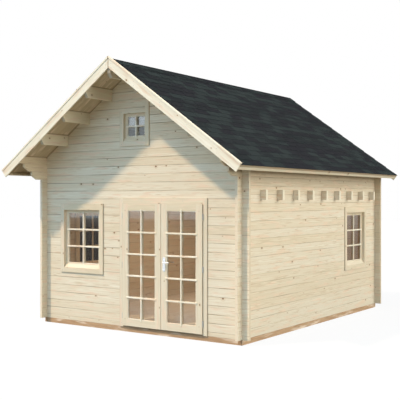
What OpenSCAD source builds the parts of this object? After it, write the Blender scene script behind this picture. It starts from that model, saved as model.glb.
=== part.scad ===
// Log garden shed with a loft: interlocked log walls, a purlin roof and a glazed double door.
// Millimetres. X runs along the front, Y to the back and Z up.
// The origin is on the ground, in the middle of the walls' footprint.

/* [Walls] */
// Width over the outer faces of the side walls
wall_w = 4000; // [3700:10:4600]
// Depth over the outer faces of the end walls
wall_d = 5000; // [4700:10:5800]
// Thickness of a log
log_t = 44; // [36:1:60]
// Height of one log course
log_pitch = 132; // [124:0.5:140]
// Bevel along the edges of a log
log_bevel = 4; // [2:0.5:8]
// How far the log ends run past a corner
log_end = 120; // [80:5:160]
// Whole courses of a side wall, under its plates
side_courses = 18; // [18:1:20]

/* [Base] */
// Height of the foundation beams
base_h = 78; // [60:1:110]
// Width of the foundation beams
base_w = 70; // [50:1:110]
// Width of a floor bearer
bearer_w = 45; // [30:1:70]
// Distance from bearer to bearer
bearer_step = 500; // [400:10:650]
// Thickness of the floor boards
floor_t = 19; // [16:1:24]
// Gap between the floor and the walls
floor_gap = 2; // [1:0.5:5]

/* [Roof] */
// Slope of the roof in degrees
roof_pitch = 35.4; // [30:0.1:40]
// Thickness of the roof boards
roof_board_t = 19; // [16:1:28]
// Thickness of the shingle layer
shingle_t = 8; // [5:0.5:14]
// How far the roof runs out past the front wall
front_over = 620; // [450:10:800]
// How far the roof runs out past the back wall
back_over = 200; // [150:10:400]
// How far the roof boards run out past a side wall
eave_over = 334; // [260:1:420]
// Depth of a bargeboard, square to the slope
barge_h = 120; // [90:1:160]
// Thickness of a bargeboard
barge_t = 20; // [16:1:28]
// Width of the cap strip that covers the front edge of the shingles
cap_w = 46; // [36:1:90]
// Thickness of the cap strip
cap_t = 24; // [16:1:36]
// How far the cap strip stands out past the bargeboard
cap_lip = 8; // [2:1:20]
// Height of the board along an eave
fascia_h = 77; // [50:1:120]
// Thickness of the board along an eave
fascia_t = 18; // [14:1:28]
// How far the shingles run past the eave board
shingle_lip = 6; // [2:1:20]
// Reach of the ridge capping down each slope
ridge_cap_w = 130; // [90:1:180]
// Thickness of the ridge capping
ridge_cap_t = 6; // [3:0.5:10]
// Open mitre between two bargeboards at the ridge
mitre_gap = 3; // [1:0.5:8]

/* [Timbers] */
// Thickness of a purlin
purlin_t = 58; // [44:1:80]
// Height of a purlin, at its upper face
purlin_h = 195; // [150:1:230]
// Height of the ridge purlin
ridge_h = 262; // [200:1:300]
// Distance from the ridge to the first purlin
purlin_first = 470; // [400:5:520]
// Distance from purlin to purlin
purlin_step = 490; // [420:5:510]
// Length of the slanting cut under a purlin's end
purlin_cut_y = 50; // [20:1:90]
// Height of the slanting cut under a purlin's end
purlin_cut_z = 70; // [30:1:110]
// Length of the slanting cut under a plate's end
corbel_cut_y = 115; // [60:1:150]
// Height of the slanting cut under a plate's end
corbel_cut_z = 70; // [30:1:100]
// Thickness of a loft beam
joist_t = 60; // [44:1:80]
// Height of a loft beam
joist_h = 158; // [120:1:180]
// How far the loft beams show past the side walls
joist_end = 100; // [40:5:160]
// Distance from beam to beam
joist_step = 518; // [480:1:540]
// Loft beams in all
joist_count = 9; // [7:1:9]
// Open strip between the front wall and the first loft beam
loft_front = 478; // [350:1:600]
// Height of the side walls left over the loft beams
loft_drop = 190; // [140:1:260]
// Thickness of the loft floor boards
loft_t = 19; // [16:1:28]

/* [Door] */
// Distance from the right-hand corner to the door's casing
door_from_corner = 600; // [450:5:800]
// Width of one door leaf
leaf_w = 772; // [650:1:800]
// Height of a door leaf
leaf_h = 1950; // [1900:1:1990]
// Thickness of a door leaf
leaf_t = 40; // [34:1:54]
// Width of the stiles and rails of a leaf
leaf_stile = 110; // [80:1:150]
// How far a leaf's edge laps over the door frame
leaf_lip = 14; // [8:1:24]
// How far the face of a leaf stands out from the logs
leaf_proud = 38; // [32:1:46]
// Width of the casing that shows beside the leaves
door_casing_w = 75; // [60:1:110]
// Height of the casing that shows over the leaves
door_casing_h = 88; // [60:1:120]
// Width of the frame behind the casing
jamb_w = 45; // [30:1:70]
// How far the stop inside the frame stands out
stop_w = 15; // [8:1:24]
// Height of the threshold
sill_h = 16; // [12:1:30]
// Least height of the frame's head
head_min = 40; // [30:1:60]
// Diameter of a hinge barrel
hinge_d = 14; // [10:0.5:20]
// Height of a hinge
hinge_h = 90; // [60:1:120]
// Diameter of a hinge pin
pin_d = 8; // [5:0.5:9]
// Diameter of the stud that fixes a hinge barrel
stud_d = 8; // [5:0.5:9]

/* [Handle] */
// Height of the handle's spindle over the foot of the leaf
spindle_z = 1045; // [900:5:1150]
// Distance from the leaf's meeting edge to the spindle
backset = 62; // [45:1:70]
// Width of a handle plate
plate_w = 50; // [36:1:60]
// Height of a handle plate
plate_h = 220; // [160:1:260]
// Thickness of a handle plate
plate_t = 6; // [4:0.5:10]
// Share of a plate's height that lies over the spindle
plate_up_share = 0.36; // [0.3:0.01:0.5]
// Diameter of the handle's neck
neck_d = 18; // [14:0.5:22]
// Diameter of the spindle through the leaf
spindle_d = 10; // [8:0.5:12]
// Distance from a leaf's face to the middle of the lever
lever_off = 46; // [36:1:60]
// Length of a lever from its spindle
lever_l = 126; // [100:1:150]
// Diameter of a lever
lever_d = 17; // [12:0.5:20]

/* [Windows] */
// Width of a window over its casing
window_w = 952; // [800:1:1000]
// Height of a window over its casing
window_h = 1157; // [1000:1:1170]
// Height of the front window's casing top over the ground
window_top = 2043; // [1997:1:2077]
// Distance from the left-hand corner to the front window
front_window_in = 388; // [330:1:420]
// Distance from the back corner to the right-hand window
right_window_in = 504; // [400:1:700]
// Distance from the front corner to the left-hand window
left_window_in = 650; // [500:1:800]
// Width of the gable window over its casing
gable_window_w = 596; // [520:1:640]
// Height of the gable window over its casing
gable_window_h = 564; // [500:1:600]
// Height of the gable window over the side walls
gable_window_rise = 116; // [80:1:160]
// Width of the casing boards
casing_w = 75; // [60:1:95]
// Width of the upper casing board of the larger windows
casing_head_w = 104; // [60:1:130]
// Thickness of the casing boards
casing_t = 18; // [14:1:22]
// Width of the gable window's upper casing board
gable_head_w = 40; // [36:1:70]
// Thickness of the lining in the wall
lining_t = 28; // [18:1:34]
// Width of a sash stile
sash_stile = 58; // [40:1:80]
// Height of a sash's lower rail
sash_rail = 82; // [50:1:110]
// Height of a sash's upper rail
sash_head = 45; // [34:1:80]
// Width of the gable sash's stiles and upper rail
gable_stile = 45; // [34:1:60]
// Thickness of a sash
sash_t = 40; // [34:1:56]
// How far a sash is set back from the face of the logs
sash_set = 34; // [8:1:40]
// Thickness of the glazing
glass_t = 14; // [4:1:20]
// Height of the weather bar at the foot of a sash
drip_h = 66; // [30:1:80]
// How far the weather bar stands out
drip_out = 44; // [8:1:48]
// Thickness of the weather bar's outer edge
drip_edge = 10; // [4:1:20]

/* [Hidden] */
$fn = 48;

// Overrun of every cut past the face that it cuts
over = 20;
// Play of a timber in the hole that holds it
timber_play = 0.5;
// Play of crossing logs in their laps, and of the roof's layers on what carries them
seat_play = 0.1;
// Running gap between a leaf and the frame, and between the leaves
run_gap = 6;
// Gap between a hinge barrel and the leaf or casing beside it
barrel_gap = 1;
// Upright gap between the two barrels of a hinge
barrel_play = 0.5;
// Radial play of a pin in its bore
pin_play = 0.08;
// Room round the handle's neck in the leaf
neck_room = 3;
// Distance from a bore's blind end to its pin
pin_rest = 4;

// Reach of each plate course past the front wall, as shares of the roof's overhang, from below
corbel_shares = [0.56, 0.84, 1];
// Share of a log's height that runs on through a lap, on each side of its middle
lap_share = 0.25;
// Heights of the three hinges, as shares of the leaf's height
hinge_shares = [0.08, 0.495, 0.9];
// Share of a hinge's height that its pin takes in the upper barrel
pin_share = 0.4;
purlin_count = 3;

hw = wall_w / 2;
hd = wall_d / 2;
plate_courses = len(corbel_shares);
lap = log_pitch * lap_share;
half_log = log_pitch / 2;
corner_courses = side_courses + plate_courses;
plate_z = base_h + side_courses * log_pitch;
side_top = plate_z + plate_courses * log_pitch;
slope = tan(roof_pitch);
ridge_z = side_top + slope * (hw - log_t);
roof_layers = roof_board_t + shingle_t;
roof_front = -hd - front_over;
roof_back = hd + back_over;
eave_u = (hw + eave_over) / cos(roof_pitch);
edge_u = eave_u + fascia_t;
gable_courses = ceil((ridge_z - base_h + half_log) / log_pitch);

joist_z = plate_z - loft_drop - joist_h;
joist_first = -hd + log_t + loft_front;
loft_z = joist_z + joist_h;

pair_w = 2 * leaf_w + run_gap;
door_x = hw - door_from_corner - door_casing_w - pair_w / 2;
sill_top = base_h + sill_h;
leaf_z = sill_top + run_gap;
leaf_top = leaf_z + leaf_h;
door_courses = ceil((leaf_top + head_min - base_h + half_log) / log_pitch);
door_split_z = end_z(door_courses);
frame_half = pair_w / 2 - leaf_lip;
frame_top = leaf_top - leaf_lip;
leaf_face = -hd - leaf_proud;
leaf_back = leaf_face + leaf_t;
lip_back = -hd - casing_t - run_gap;
hinge_x = pair_w / 2 + hinge_d / 2 + barrel_gap;
hinge_y = -hd - casing_t - hinge_d / 2 - barrel_gap;
stud_y = (leaf_face + lip_back) / 2;
barrel_h = (hinge_h - barrel_play) / 2;
spindle_x = run_gap / 2 + backset;
spindle_up = leaf_z + spindle_z;

lining_depth = sash_set + sash_t;
window_z = window_top - window_h;
side_window_z = window_z - half_log;
gable_window_z = side_top + gable_window_rise;
front_window_x = -hw + front_window_in + window_w / 2;
right_window_y = hd - right_window_in - window_w / 2;
left_window_y = -hd + left_window_in + window_w / 2;

// Heights of the joints in the side walls, and in the end walls, which start with half a course
function side_z(k) = base_h + k * log_pitch;
function end_z(k) = base_h + max(0, k * log_pitch - half_log);
// Top of the walls and purlins under the roof boards
function roof_z(x) = ridge_z - seat_play - slope * abs(x);
// Point in the X and Z plane at u down the right-hand slope and w above the roof boards' underside
function on_slope(u, w) = [u * cos(roof_pitch) + w * sin(roof_pitch),
                           ridge_z - u * sin(roof_pitch) + w * cos(roof_pitch)];

// Outline of stacked logs, from the joint heights: thickness along x, height along y
function log_outline(z) = concat(
    [for (i = [0 : len(z) - 2]) each
        [[log_bevel, z[i]], [0, z[i] + log_bevel], [0, z[i + 1] - log_bevel]]],
    [[log_bevel, z[len(z) - 1]], [log_t - log_bevel, z[len(z) - 1]]],
    [for (i = [len(z) - 2 : -1 : 0]) each
        [[log_t, z[i + 1] - log_bevel], [log_t, z[i] + log_bevel], [log_t - log_bevel, z[i]]]]);

// Logs of the front wall from x0 to x1
module end_logs(x0, x1, first, last) {
    translate([x0, -hd, 0]) rotate([90, 0, 90]) linear_extrude(x1 - x0)
        polygon(log_outline([for (k = [first : last]) end_z(k)]));
}

// Logs of the left wall, with joints at the given heights
module side_logs(y0, y1, z) {
    translate([-hw, y1, 0]) rotate([90, 0, 0]) linear_extrude(y1 - y0) polygon(log_outline(z));
}

// Block between two corners
module block(low, high) {
    translate(low) cube(high - low);
}

// Prism of an outline in the X and Z plane, from y0 to y1
module along_y(y0, y1, outline) {
    translate([0, y1, 0]) rotate([90, 0, 0]) linear_extrude(y1 - y0) polygon(outline);
}

// Prism of an outline in the Y and Z plane, from x0 to x1
module along_x(x0, x1, outline) {
    translate([x0, 0, 0]) rotate([90, 0, 90]) linear_extrude(x1 - x0) polygon(outline);
}

// Room under the roof boards
module under_roof(y0, y1) {
    reach = hw + eave_over;
    along_y(y0, y1, [[-reach, -over], [reach, -over], [reach, roof_z(reach)], [0, roof_z(0)],
                     [-reach, roof_z(reach)]]);
}

// Both sides of the house, or the front and the back
module both_sides() {
    children();
    mirror([1, 0, 0]) children();
}

module both_ends() {
    children();
    mirror([0, 1, 0]) children();
}

// Laps that an end wall leaves to the side walls; the last one runs up to the roof
module end_wall_laps(first, last) {
    for (k = [first : last])
        both_sides() block([hw - log_t, -hd - over, end_z(k) - lap],
                           [hw, -hd + log_t + over,
                            k == corner_courses ? side_top + over : end_z(k) + lap]);
}

// Laps that a side wall leaves to the end walls
module side_wall_laps(first, last) {
    for (k = [first : last])
        both_ends() block([-hw - over, -hd, side_z(k) - lap - seat_play],
                          [-hw + log_t + over, -hd + log_t, side_z(k) + lap + seat_play]);
}

// Cross-sections of the right-hand purlins and of the ridge purlin, with their tops raised by rise
function purlin_outline(i, rise = 0) = let (x = purlin_first + i * purlin_step, low = roof_z(x) - purlin_h)
    [[x, low], [x + purlin_t, low], [x + purlin_t, roof_z(x + purlin_t) + rise], [x, roof_z(x) + rise]];

function ridge_outline(rise = 0) = let (x = purlin_t / 2, low = ridge_z - ridge_h)
    [[-x, low], [x, low], [x, roof_z(x) + rise], [0, roof_z(0) + rise], [-x, roof_z(x) + rise]];

// Slots in a gable for the purlins, open at the top
module purlin_slots() {
    along_y(-hd - over, -hd + log_t + over, ridge_outline(over));
    both_sides() for (i = [0 : purlin_count - 1])
        along_y(-hd - over, -hd + log_t + over, purlin_outline(i, over));
}

// Purlin with the slanting cuts under both ends; low is the height of its underside
module purlin(outline, low) {
    difference() {
        along_y(roof_front, roof_back, outline);
        along_x(-wall_w, wall_w, [[roof_front - over, low - over], [roof_front + purlin_cut_y, low - over],
                                  [roof_front + purlin_cut_y, low], [roof_front, low + purlin_cut_z],
                                  [roof_front - over, low + purlin_cut_z]]);
        along_x(-wall_w, wall_w, [[roof_back + over, low - over], [roof_back - purlin_cut_y, low - over],
                                  [roof_back - purlin_cut_y, low], [roof_back, low + purlin_cut_z],
                                  [roof_back + over, low + purlin_cut_z]]);
    }
}

// Layer of the right-hand slope, from w0 to w1 above the boards' underside and down to u1
module roof_layer(w0, w1, u1, y0, y1, gap = 0) {
    along_y(y0, y1, [on_slope(gap / 2 / cos(roof_pitch) - w0 * slope, w0), on_slope(u1, w0),
                     on_slope(u1, w1), on_slope(gap / 2 / cos(roof_pitch) - w1 * slope, w1)]);
}

// Ring in the plane of a wall: local x along the wall, y into the house, z up from the ring's foot
module ring(w, h, side, foot, head, y0, y1) {
    difference() {
        block([-w / 2, y0, 0], [w / 2, y1, h]);
        block([-w / 2 + side, y0 - over, foot], [w / 2 - side, y1 + over, h - head]);
    }
}

// Places in the walls: the local origin is on the outer face of the logs
module on_front(x, z) { translate([x, -hd, z]) children(); }
module on_right(y, z) { translate([hw, y, z]) rotate([0, 0, 90]) children(); }
module on_left(y, z) { translate([-hw, y, z]) rotate([0, 0, -90]) children(); }
module front_window() { on_front(front_window_x, window_z) children(); }
module right_window() { on_right(right_window_y, side_window_z) children(); }
module left_window() { on_left(left_window_y, side_window_z) children(); }
module gable_window() { on_front(0, gable_window_z) children(); }

// Hole in the logs for a window's lining
module window_cut(w, h, head) {
    block([-w / 2 + casing_w - lining_t, -over, casing_w - lining_t],
          [w / 2 - casing_w + lining_t, lining_depth + over, h - head + lining_t]);
}

// Casing on the logs and lining in the wall, in one frame
module window_frame(w, h, head) {
    ring(w, h, casing_w, casing_w, head, -casing_t, 0);
    translate([0, 0, casing_w - lining_t])
        ring(w - 2 * (casing_w - lining_t), h - casing_w - head + 2 * lining_t,
             lining_t, lining_t, lining_t, 0, lining_depth);
}

// Sash with the weather bar across its foot
module window_sash(w, h, head, stile, top_rail) {
    clear_w = w - 2 * casing_w;
    translate([0, 0, casing_w]) {
        ring(clear_w, h - casing_w - head, stile, sash_rail, top_rail, sash_set, sash_set + sash_t);
        along_x(-clear_w / 2, clear_w / 2, [[sash_set - drip_out, 0], [sash_set, 0], [sash_set, drip_h],
                                            [sash_set - drip_out, drip_edge]]);
    }
}

module window_glass(w, h, head, stile, top_rail) {
    middle = sash_set + sash_t / 2;
    block([-w / 2 + casing_w + stile, middle - glass_t / 2, casing_w + sash_rail],
          [w / 2 - casing_w - stile, middle + glass_t / 2, h - head - top_rail]);
}

// The three larger windows are alike
module plain_cut() { window_cut(window_w, window_h, casing_head_w); }
module plain_frame() { window_frame(window_w, window_h, casing_head_w); }
module plain_sash() { window_sash(window_w, window_h, casing_head_w, sash_stile, sash_head); }
module plain_glass() { window_glass(window_w, window_h, casing_head_w, sash_stile, sash_head); }

// Place of the left-hand leaf, side -1, or of the right-hand one, side 1
module at_door(side) {
    translate([door_x, 0, 0]) mirror([side > 0 ? 1 : 0, 0, 0]) children();
}

// Hole in the logs for the door frame
module door_cut() {
    block([door_x - frame_half - jamb_w, -hd - over, base_h - over],
          [door_x + frame_half + jamb_w, -hd + log_t + over, door_split_z]);
}

// Left-hand leaf: the lip laps over the frame outside, the rest stands between the jambs
module leaf() {
    outer = -pair_w / 2;
    inner = -run_gap / 2;
    difference() {
        union() {
            block([outer, leaf_face, leaf_z], [inner, lip_back, leaf_top]);
            block([outer + leaf_lip + run_gap, lip_back, leaf_z],
                  [inner, leaf_back, leaf_top - leaf_lip - run_gap]);
        }
        block([outer + leaf_stile, leaf_face - over, leaf_z + leaf_stile],
              [inner - leaf_stile, leaf_back + over, leaf_top - leaf_stile]);
    }
}

module leaf_glass() {
    middle = (leaf_face + leaf_back) / 2;
    block([-pair_w / 2 + leaf_stile, middle - glass_t / 2, leaf_z + leaf_stile],
          [-run_gap / 2 - leaf_stile, middle + glass_t / 2, leaf_top - leaf_stile]);
}

// Upper barrels, bored for the pins and fixed to the leaf's edge
module leaf_hinges() {
    for (share = hinge_shares)
        translate([-hinge_x, hinge_y, leaf_z + share * leaf_h + barrel_play])
            difference() {
                union() {
                    cylinder(d = hinge_d, h = barrel_h);
                    translate([0, stud_y - hinge_y, barrel_h / 2]) rotate([0, 90, 0])
                        cylinder(d = stud_d, h = hinge_d / 2 + barrel_gap);
                }
                translate([0, 0, -over])
                    cylinder(r = pin_d / 2 + pin_play, h = over + pin_share * hinge_h + pin_rest);
            }
}

// Lower barrels with their pins, fixed to the casing
module frame_hinges() {
    for (share = hinge_shares)
        translate([-hinge_x, hinge_y, leaf_z + share * leaf_h - barrel_h]) {
            cylinder(d = hinge_d, h = barrel_h);
            cylinder(d = pin_d, h = barrel_h + pin_share * hinge_h);
            translate([0, 0, barrel_h / 2]) rotate([-90, 0, 0])
                cylinder(d = stud_d, h = hinge_d / 2 + barrel_gap);
        }
}

// Round-ended plate on a leaf's face, bored for the neck of the handle
module handle_plate(y0, y1) {
    up = plate_h * plate_up_share - plate_w / 2;
    down = plate_h * (1 - plate_up_share) - plate_w / 2;
    translate([0, y1, 0]) rotate([90, 0, 0]) difference() {
        linear_extrude(y1 - y0) union() {
            translate([0, up]) circle(d = plate_w);
            translate([0, -down]) circle(d = plate_w);
            translate([-plate_w / 2, -down]) square([plate_w, up + down]);
        }
        translate([0, 0, -over]) cylinder(r = neck_d / 2 + pin_play, h = y1 - y0 + 2 * over);
    }
}

// One lever with its neck; dir is -1 outside and 1 inside
module lever(face, dir) {
    rotate([-90 * dir, 0, 0]) translate([0, 0, dir * face]) cylinder(d = neck_d, h = lever_off);
    translate([0, face + dir * lever_off, 0]) {
        sphere(d = neck_d);
        rotate([0, -90, 0]) cylinder(d = lever_d, h = lever_l - lever_d / 2);
        translate([-(lever_l - lever_d / 2), 0, 0]) sphere(d = lever_d);
    }
}

module at_spindle() {
    at_door(1) translate([-spindle_x, 0, spindle_up]) children();
}

// Sub-parts

module foundation_side_beams() {
    color("saddlebrown") both_sides() block([hw - base_w, -hd, 0], [hw, hd, base_h]);
}

module foundation_end_beams() {
    color("saddlebrown") both_ends() block([-hw + base_w, -hd, 0], [hw - base_w, -hd + base_w, base_h]);
}

module floor_bearers() {
    count = floor((hd - base_w - bearer_w) / bearer_step);
    color("saddlebrown") for (i = [-count : count])
        block([-hw + base_w, i * bearer_step - bearer_w / 2, 0],
              [hw - base_w, i * bearer_step + bearer_w / 2, base_h]);
}

module floor_boards() {
    inset = log_t + floor_gap;
    color("burlywood") block([-hw + inset, -hd + inset, base_h], [hw - inset, hd - inset, base_h + floor_t]);
}

module front_wall_left() {
    color("wheat") difference() {
        end_logs(-hw - log_end, door_x - frame_half - jamb_w, 0, door_courses);
        end_wall_laps(1, door_courses);
        front_window() plain_cut();
    }
}

module front_wall_right() {
    color("wheat") difference() {
        end_logs(door_x + frame_half + jamb_w, hw + log_end, 0, door_courses);
        end_wall_laps(1, door_courses);
    }
}

module front_gable() {
    color("wheat") difference() {
        intersection() {
            end_logs(-hw - log_end, hw + log_end, door_courses, gable_courses);
            under_roof(-hd - over, -hd + log_t + over);
        }
        end_wall_laps(door_courses, corner_courses);
        purlin_slots();
        front_window() plain_cut();
        gable_window() window_cut(gable_window_w, gable_window_h, gable_head_w);
    }
}

module back_wall() {
    color("wheat") mirror([0, 1, 0]) difference() {
        intersection() {
            end_logs(-hw - log_end, hw + log_end, 0, gable_courses);
            under_roof(-hd - over, -hd + log_t + over);
        }
        end_wall_laps(1, corner_courses);
        purlin_slots();
    }
}

// Left wall up to its plates, with the holes for the loft beams
module side_wall() {
    difference() {
        side_logs(-hd - log_end, hd + log_end, [for (k = [0 : side_courses]) side_z(k)]);
        side_wall_laps(0, side_courses);
        for (i = [0 : joist_count - 1])
            block([-hw - over, joist_first + i * joist_step - timber_play, joist_z],
                  [-hw + log_t + over, joist_first + i * joist_step + joist_t + timber_play,
                   joist_z + joist_h + timber_play]);
    }
}

module left_wall() {
    color("wheat") difference() {
        side_wall();
        left_window() plain_cut();
    }
}

module right_wall() {
    color("wheat") difference() {
        mirror([1, 0, 0]) side_wall();
        right_window() plain_cut();
    }
}

// Upper logs of the left wall, stepped out under the front of the roof
module wall_plates() {
    difference() {
        intersection() {
            side_logs(roof_front, roof_back, [for (k = [side_courses : corner_courses]) side_z(k)]);
            under_roof(roof_front - over, roof_back + over);
        }
        side_wall_laps(side_courses, corner_courses - 1);
        for (k = [0 : plate_courses - 2]) {
            low = plate_z + k * log_pitch;
            tip = -hd - front_over * corbel_shares[k];
            along_x(-hw - over, -hw + log_t + over,
                    [[roof_front - over, low - (k == 0 ? over : 0)],
                     [tip + corbel_cut_y, low - (k == 0 ? over : 0)],
                     [tip + corbel_cut_y, low], [tip, low + corbel_cut_z],
                     [tip, low + log_pitch], [roof_front - over, low + log_pitch]]);
            block([-hw - over, hd + log_end, low - over],
                  [-hw + log_t + over, roof_back + over, low + log_pitch]);
        }
    }
}

module left_wall_plates() { color("wheat") wall_plates(); }
module right_wall_plates() { color("wheat") mirror([1, 0, 0]) wall_plates(); }

module ridge_purlin() {
    color("burlywood") purlin(ridge_outline(), ridge_z - ridge_h);
}

module right_purlin_row() {
    for (i = [0 : purlin_count - 1])
        purlin(purlin_outline(i), roof_z(purlin_first + i * purlin_step) - purlin_h);
}

module right_purlins() { color("burlywood") right_purlin_row(); }
module left_purlins() { color("burlywood") mirror([1, 0, 0]) right_purlin_row(); }

module loft_beams() {
    color("wheat") for (i = [0 : joist_count - 1])
        block([-hw - joist_end, joist_first + i * joist_step, joist_z],
              [hw + joist_end, joist_first + i * joist_step + joist_t, loft_z]);
}

module loft_boards() {
    inset = log_t + floor_gap;
    color("burlywood") block([-hw + inset, joist_first, loft_z], [hw - inset, hd - inset, loft_z + loft_t]);
}

module roof_boards() { roof_layer(0, roof_board_t, eave_u, roof_front, roof_back); }
module right_roof_boards() { color("tan") roof_boards(); }
module left_roof_boards() { color("tan") mirror([1, 0, 0]) roof_boards(); }

module shingles() {
    roof_layer(roof_board_t + seat_play, roof_layers, edge_u + shingle_lip,
               roof_front, roof_back + barge_t + shingle_lip);
}

module right_shingles() { color("darkslategray") shingles(); }
module left_shingles() { color("darkslategray") mirror([1, 0, 0]) shingles(); }

module ridge_capping() {
    low = roof_layers + seat_play;
    top = roof_layers + ridge_cap_t;
    low_point = on_slope(ridge_cap_w, low);
    top_point = on_slope(ridge_cap_w, top);
    color("darkslategray") along_y(roof_front - barge_t - cap_lip + cap_w, roof_back + barge_t + shingle_lip,
        [[0, ridge_z + low / cos(roof_pitch)], low_point, top_point,
         [0, ridge_z + top / cos(roof_pitch)],
         [-top_point[0], top_point[1]], [-low_point[0], low_point[1]]]);
}

module front_bargeboards() {
    color("antiquewhite") both_sides()
        roof_layer(roof_layers - barge_h, roof_layers, edge_u, roof_front - barge_t, roof_front, mitre_gap);
}

module back_bargeboards() {
    color("antiquewhite") both_sides()
        roof_layer(roof_layers - barge_h, roof_board_t, edge_u, roof_back, roof_back + barge_t, mitre_gap);
}

module front_cap_strips() {
    outer = roof_front - barge_t - cap_lip;
    color("antiquewhite") both_sides()
        roof_layer(roof_layers + seat_play, roof_layers + cap_t, edge_u, outer, outer + cap_w, mitre_gap);
}

module eave_boards() {
    low = roof_board_t - fascia_h;
    color("antiquewhite") both_sides()
        along_y(roof_front, roof_back, [on_slope(eave_u, low), on_slope(edge_u, low),
                                        on_slope(edge_u, roof_board_t), on_slope(eave_u, roof_board_t)]);
}

module front_window_frame() { color("wheat") front_window() plain_frame(); }
module right_window_frame() { color("wheat") right_window() plain_frame(); }
module left_window_frame() { color("wheat") left_window() plain_frame(); }

module front_window_sash() { color("antiquewhite") front_window() plain_sash(); }
module right_window_sash() { color("antiquewhite") right_window() plain_sash(); }
module left_window_sash() { color("antiquewhite") left_window() plain_sash(); }

module front_window_glass() { color("lightblue", 0.4) front_window() plain_glass(); }
module right_window_glass() { color("lightblue", 0.4) right_window() plain_glass(); }
module left_window_glass() { color("lightblue", 0.4) left_window() plain_glass(); }

// The gable window's right-hand casing board runs on up to the roof
module gable_window_frame() {
    color("wheat") {
        gable_window() window_frame(gable_window_w, gable_window_h, gable_head_w);
        intersection() {
            block([gable_window_w / 2 - casing_w, -hd - casing_t, gable_window_z + casing_w],
                  [gable_window_w / 2, -hd, ridge_z]);
            under_roof(-hd - casing_t - over, -hd + over);
        }
    }
}

module gable_window_sash() {
    color("antiquewhite") gable_window()
        window_sash(gable_window_w, gable_window_h, gable_head_w, gable_stile, gable_stile);
}

module gable_window_glass() {
    color("lightblue", 0.4) gable_window()
        window_glass(gable_window_w, gable_window_h, gable_head_w, gable_stile, gable_stile);
}

// Casing outside, jambs and head in the wall, a stop behind the leaves and the threshold
module door_frame() {
    casing_half = pair_w / 2 + door_casing_w;
    stop_face = leaf_back + run_gap;
    stop_half = frame_half - stop_w;
    inside = -hd + log_t;
    color("wheat") translate([door_x, 0, 0]) difference() {
        union() {
            block([-casing_half, -hd - casing_t, base_h], [casing_half, -hd, leaf_top + door_casing_h]);
            block([-frame_half - jamb_w, -hd, base_h], [frame_half + jamb_w, inside, door_split_z]);
        }
        block([-frame_half, -hd - casing_t - over, sill_top], [frame_half, stop_face, frame_top]);
        block([-stop_half, stop_face - over, sill_top], [stop_half, inside + over, frame_top - stop_w]);
    }
}

module door_frame_hinges() {
    color("silver") {
        at_door(-1) frame_hinges();
        at_door(1) frame_hinges();
    }
}

module left_leaf() { color("antiquewhite") at_door(-1) leaf(); }
module left_leaf_glass() { color("lightblue", 0.4) at_door(-1) leaf_glass(); }
module left_leaf_hinges() { color("silver") at_door(-1) leaf_hinges(); }

module right_leaf() {
    color("antiquewhite") difference() {
        at_door(1) leaf();
        at_spindle() translate([0, leaf_face - over, 0]) rotate([-90, 0, 0])
            cylinder(d = neck_d + 2 * neck_room, h = leaf_t + 2 * over);
    }
}

module right_leaf_glass() { color("lightblue", 0.4) at_door(1) leaf_glass(); }
module right_leaf_hinges() { color("silver") at_door(1) leaf_hinges(); }

module handle_plates() {
    color("silver") at_spindle() {
        handle_plate(leaf_face - plate_t, leaf_face);
        handle_plate(leaf_back, leaf_back + plate_t);
    }
}

module lever_handle() {
    color("silver") at_spindle() {
        lever(leaf_face, -1);
        lever(leaf_back, 1);
        translate([0, leaf_face, 0]) rotate([-90, 0, 0]) cylinder(d = spindle_d, h = leaf_t);
    }
}

foundation_side_beams();
foundation_end_beams();
floor_bearers();
floor_boards();
front_wall_left();
front_wall_right();
front_gable();
back_wall();
left_wall();
right_wall();
left_wall_plates();
right_wall_plates();
ridge_purlin();
left_purlins();
right_purlins();
loft_beams();
loft_boards();
left_roof_boards();
right_roof_boards();
left_shingles();
right_shingles();
ridge_capping();
front_bargeboards();
back_bargeboards();
front_cap_strips();
eave_boards();
front_window_frame();
front_window_sash();
front_window_glass();
right_window_frame();
right_window_sash();
right_window_glass();
left_window_frame();
left_window_sash();
left_window_glass();
gable_window_frame();
gable_window_sash();
gable_window_glass();
door_frame();
door_frame_hinges();
left_leaf();
left_leaf_glass();
left_leaf_hinges();
right_leaf();
right_leaf_glass();
right_leaf_hinges();
handle_plates();
lever_handle();
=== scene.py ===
import bmesh
import bpy
import math
from mathutils import Matrix, Vector


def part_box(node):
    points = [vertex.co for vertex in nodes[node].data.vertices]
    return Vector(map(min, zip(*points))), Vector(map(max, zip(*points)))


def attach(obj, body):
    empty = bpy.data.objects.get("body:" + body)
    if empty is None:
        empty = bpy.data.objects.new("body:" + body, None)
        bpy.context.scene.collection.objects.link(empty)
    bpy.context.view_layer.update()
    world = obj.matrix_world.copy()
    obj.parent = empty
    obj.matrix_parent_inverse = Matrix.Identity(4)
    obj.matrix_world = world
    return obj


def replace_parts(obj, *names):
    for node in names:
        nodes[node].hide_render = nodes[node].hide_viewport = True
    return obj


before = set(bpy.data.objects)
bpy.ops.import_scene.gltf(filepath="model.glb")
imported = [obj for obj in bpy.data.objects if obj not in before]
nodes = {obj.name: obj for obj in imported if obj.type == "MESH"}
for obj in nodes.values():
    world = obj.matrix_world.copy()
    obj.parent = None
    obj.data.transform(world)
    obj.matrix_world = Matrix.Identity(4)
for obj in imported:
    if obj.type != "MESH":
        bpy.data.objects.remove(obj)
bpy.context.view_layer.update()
print("frame:", len(nodes), "nodes")


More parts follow.
